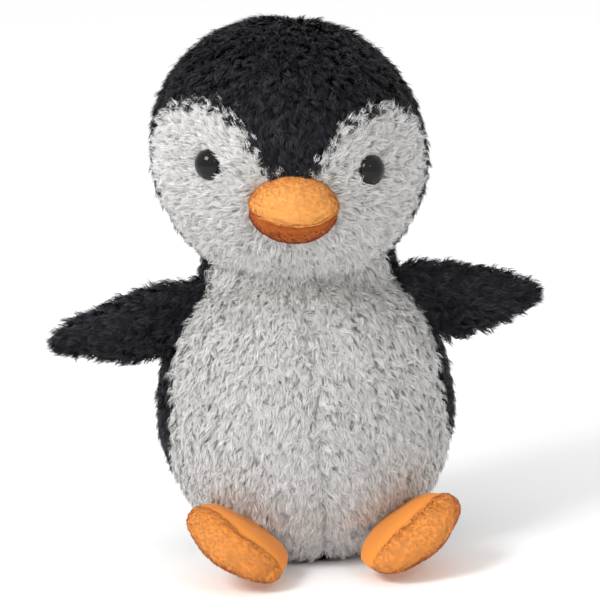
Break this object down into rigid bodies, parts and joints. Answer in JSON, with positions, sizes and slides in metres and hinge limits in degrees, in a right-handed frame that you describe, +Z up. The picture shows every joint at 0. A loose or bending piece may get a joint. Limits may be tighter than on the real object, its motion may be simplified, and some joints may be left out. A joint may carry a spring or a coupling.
{
  "type": "plush penguin",
  "caption": "Seated plush penguin with black and white long pile, an orange beak and feet, domed eyes, and wings and a head that flop and spring back.",
  "frame": {"origin": "middle of the flat seat panel, on the plane the penguin sits on", "axes": "+Z up, -Y the way the penguin faces, +X its own left side"},
  "size_m": [0.2221, 0.1481, 0.2482],
  "materials": {
    "black_plush": "long brushed pile",
    "white_plush": "long brushed pile",
    "beak_upper_velboa": "short soft pile",
    "beak_lower_velboa": "short soft pile",
    "foot_velboa": "short soft pile",
    "eye_plastic": "glossy",
    "washer_plastic": "matte",
    "fibre": "loose fibre",
    "pouch_cloth": "plain weave",
    "label_satin": "satin"
  },
  "bodies": {
    "torso": {"belly_left": "white_plush", "belly_right": "white_plush", "back_left": "black_plush", "back_right": "black_plush", "seat_panel": "black_plush", "body_stuffing": "fibre", "pellet_pouch": "pouch_cloth", "care_label": "label_satin"},
    "neck": {"neck_stuffing": "fibre"},
    "head": {"crown_left": "black_plush", "crown_right": "black_plush", "face_left": "white_plush", "face_right": "white_plush", "head_stuffing": "fibre", "beak_upper": "beak_upper_velboa", "beak_lower": "beak_lower_velboa", "beak_stuffing": "fibre", "eye_left": "eye_plastic", "eye_right": "eye_plastic", "eye_washer_left": "washer_plastic", "eye_washer_right": "washer_plastic"},
    "wing_left": {"wing_left_front": "black_plush", "wing_left_back": "black_plush", "wing_left_stuffing": "fibre"},
    "foot_left": {"foot_left_top": "foot_velboa", "foot_left_sole": "foot_velboa", "foot_left_stuffing": "fibre"},
    "wing_right": {"wing_right_front": "black_plush", "wing_right_back": "black_plush", "wing_right_stuffing": "fibre"},
    "foot_right": {"foot_right_top": "foot_velboa", "foot_right_sole": "foot_velboa", "foot_right_stuffing": "fibre"}
  },
  "joints": [
    {"name": "neck_turn", "type": "hinge", "parent": "torso", "child": "neck", "pos_m": [0, 0, 0.135], "axis": [0, 0, 1], "range_deg": [-30, 30], "stiffness_Nm_per_rad": 0.5},
    {"name": "neck_nod", "type": "hinge", "parent": "neck", "child": "head", "pos_m": [0, 0, 0.135], "axis": [1, 0, 0], "range_deg": [-15, 20], "stiffness_Nm_per_rad": 0.8},
    {"name": "wing_left_swing", "type": "hinge", "parent": "torso", "child": "wing_left", "pos_m": [0.0555, -0.011, 0.1165], "axis": [0.4384, 0, -0.8988], "range_deg": [-45, 70], "stiffness_Nm_per_rad": 0.1},
    {"name": "wing_right_swing", "type": "hinge", "parent": "torso", "child": "wing_right", "pos_m": [-0.0555, -0.011, 0.1165], "axis": [0.4384, 0, 0.8988], "range_deg": [-45, 70], "stiffness_Nm_per_rad": 0.1},
    {"name": "foot_left_lift", "type": "hinge", "parent": "torso", "child": "foot_left", "pos_m": [0.0325, -0.046, 0.02337], "axis": [-0.7335, -0.4764, -0.4848], "range_deg": [0, 40], "stiffness_Nm_per_rad": 0.3},
    {"name": "foot_right_lift", "type": "hinge", "parent": "torso", "child": "foot_right", "pos_m": [-0.0285, -0.046, 0.02441], "axis": [-0.7034, 0.4568, 0.5446], "range_deg": [0, 40], "stiffness_Nm_per_rad": 0.3}
  ]
}
